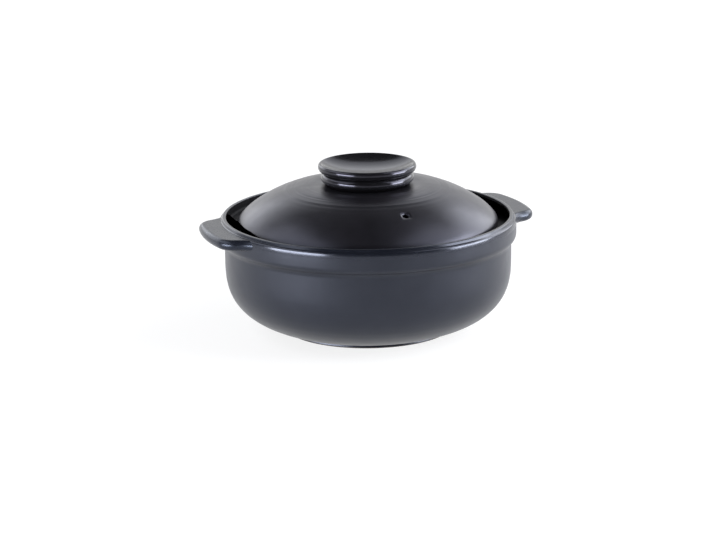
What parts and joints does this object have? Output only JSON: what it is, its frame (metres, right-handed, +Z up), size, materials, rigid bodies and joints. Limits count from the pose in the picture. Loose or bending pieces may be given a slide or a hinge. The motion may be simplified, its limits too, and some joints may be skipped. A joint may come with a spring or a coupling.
{
  "type": "donabe clay pot",
  "caption": "Low round clay cooking pot with a foot ring, two lug handles, and a domed lid with a ring knob and steam vent seated inside the rim.",
  "frame": {"origin": "centre of the foot ring, on the surface that the pot stands on", "axes": "+Z up; the left handle lies along -X and the right one 2.5 degrees behind +X, and the front, near the lid's steam vent, is towards -Y"},
  "size_m": [0.2888, 0.254, 0.1429],
  "materials": {
    "pot_glaze": "satin black glaze over stoneware",
    "handle_glaze": "satin black glaze over stoneware",
    "lid_glaze": "satin black glaze over stoneware",
    "knob_glaze": "glossier black glaze over stoneware"
  },
  "bodies": {
    "pot": {"bowl": "pot_glaze", "handle_left": "handle_glaze", "handle_right": "handle_glaze"},
    "lid": {"lid_dome": "lid_glaze", "lid_knob": "knob_glaze"}
  },
  "joints": [
    {"name": "lid_lift", "type": "slide", "parent": "pot", "child": "lid", "axis": [0, 0, 1], "range_m": [0, 0.15]}
  ]
}
